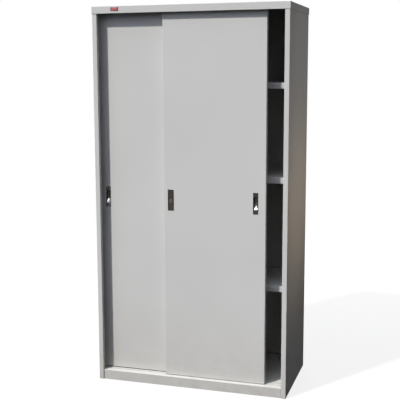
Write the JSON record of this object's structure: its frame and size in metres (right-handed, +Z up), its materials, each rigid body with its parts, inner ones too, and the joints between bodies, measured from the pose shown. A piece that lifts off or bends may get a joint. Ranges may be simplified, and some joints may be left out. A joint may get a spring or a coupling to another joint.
{
  "type": "sliding door cabinet",
  "caption": "Tall folded-steel office cupboard whose sliding doors pass each other on rollers, with recessed finger pulls, a cam lock and adjustable shelves.",
  "frame": {"origin": "on the floor, below the middle of the cabinet's box", "axes": "+X to the right as one faces the doors, -Y is the front, where the doors are, +Z up"},
  "size_m": [0.95, 0.492, 1.83],
  "materials": {
    "powder_coat": "fine-textured light grey powder coat",
    "zinc_steel": "zinc plated",
    "dark_nickel": "dark polished nickel plate",
    "lock_metal": "satin nickel plate",
    "nylon": "moulded natural nylon",
    "rubber": "matt black",
    "badge_red": "red enamel, no lettering"
  },
  "bodies": {
    "cabinet": {"left_side_panel": "powder_coat", "right_side_panel": "powder_coat", "left_front_post": "powder_coat", "right_front_post": "powder_coat", "back_panel": "powder_coat", "back_screws": "zinc_steel", "top_cap": "powder_coat", "badge": "badge_red", "front_header": "powder_coat", "top_track": "zinc_steel", "front_guide_strip": "zinc_steel", "middle_guide_strip": "zinc_steel", "rear_guide_strip": "zinc_steel", "base_tray": "powder_coat", "floor_stiffener": "powder_coat", "bottom_track": "powder_coat", "left_bumpers": "rubber", "right_bumpers": "rubber", "left_front_upright": "powder_coat", "left_rear_upright": "powder_coat", "right_front_upright": "powder_coat", "right_rear_upright": "powder_coat", "top_shelf": "powder_coat", "middle_shelf": "powder_coat", "bottom_shelf": "powder_coat", "top_shelf_clips": "zinc_steel", "middle_shelf_clips": "zinc_steel", "bottom_shelf_clips": "zinc_steel"},
    "front_door": {"front_door": "powder_coat", "front_door_brace": "powder_coat", "front_door_roller_carrier": "zinc_steel", "front_door_axles": "zinc_steel", "front_door_top_guides": "nylon", "front_door_pull": "dark_nickel", "lock_plate": "dark_nickel", "lock_body": "lock_metal"},
    "rear_door": {"rear_door": "powder_coat", "rear_door_brace": "powder_coat", "rear_door_roller_carrier": "zinc_steel", "rear_door_axles": "zinc_steel", "rear_door_top_guides": "nylon", "rear_door_pull": "dark_nickel", "lock_keeper": "zinc_steel"},
    "front_left_roller": {"front_door_left_roller": "nylon"},
    "front_right_roller": {"front_door_right_roller": "nylon"},
    "rear_left_roller": {"rear_door_left_roller": "nylon"},
    "rear_right_roller": {"rear_door_right_roller": "nylon"},
    "lock": {"lock_cylinder": "lock_metal", "lock_cam": "zinc_steel", "lock_nut": "zinc_steel"}
  },
  "joints": [
    {"name": "front_door_slide", "type": "slide", "parent": "cabinet", "child": "front_door", "axis": [1, 0, 0], "range_m": [-0.337, 0.103]},
    {"name": "rear_door_slide", "type": "slide", "parent": "cabinet", "child": "rear_door", "axis": [1, 0, 0], "range_m": [0, 0.44]},
    {"name": "front_left_roller_spin", "type": "hinge", "parent": "front_door", "child": "front_left_roller", "pos_m": [-0.071, -0.2045, 0.05905], "axis": [0, 1, 0], "continuous": true},
    {"name": "front_right_roller_spin", "type": "hinge", "parent": "front_door", "child": "front_right_roller", "pos_m": [0.305, -0.2045, 0.05905], "axis": [0, 1, 0], "continuous": true},
    {"name": "rear_left_roller_spin", "type": "hinge", "parent": "rear_door", "child": "rear_left_roller", "pos_m": [-0.408, -0.1785, 0.05905], "axis": [0, 1, 0], "continuous": true},
    {"name": "rear_right_roller_spin", "type": "hinge", "parent": "rear_door", "child": "rear_right_roller", "pos_m": [-0.032, -0.1785, 0.05905], "axis": [0, 1, 0], "continuous": true},
    {"name": "lock_turn", "type": "hinge", "parent": "front_door", "child": "lock", "pos_m": [-0.0965, -0.2155, 0.916], "axis": [0, -1, 0], "range_deg": [0, 90]}
  ],
  "couplings": [
    {"joint": "front_left_roller_spin", "follows": "front_door_slide", "rad_per_m": 71.429},
    {"joint": "front_right_roller_spin", "follows": "front_door_slide", "rad_per_m": 71.429},
    {"joint": "rear_left_roller_spin", "follows": "rear_door_slide", "rad_per_m": 71.429},
    {"joint": "rear_right_roller_spin", "follows": "rear_door_slide", "rad_per_m": 71.429}
  ]
}
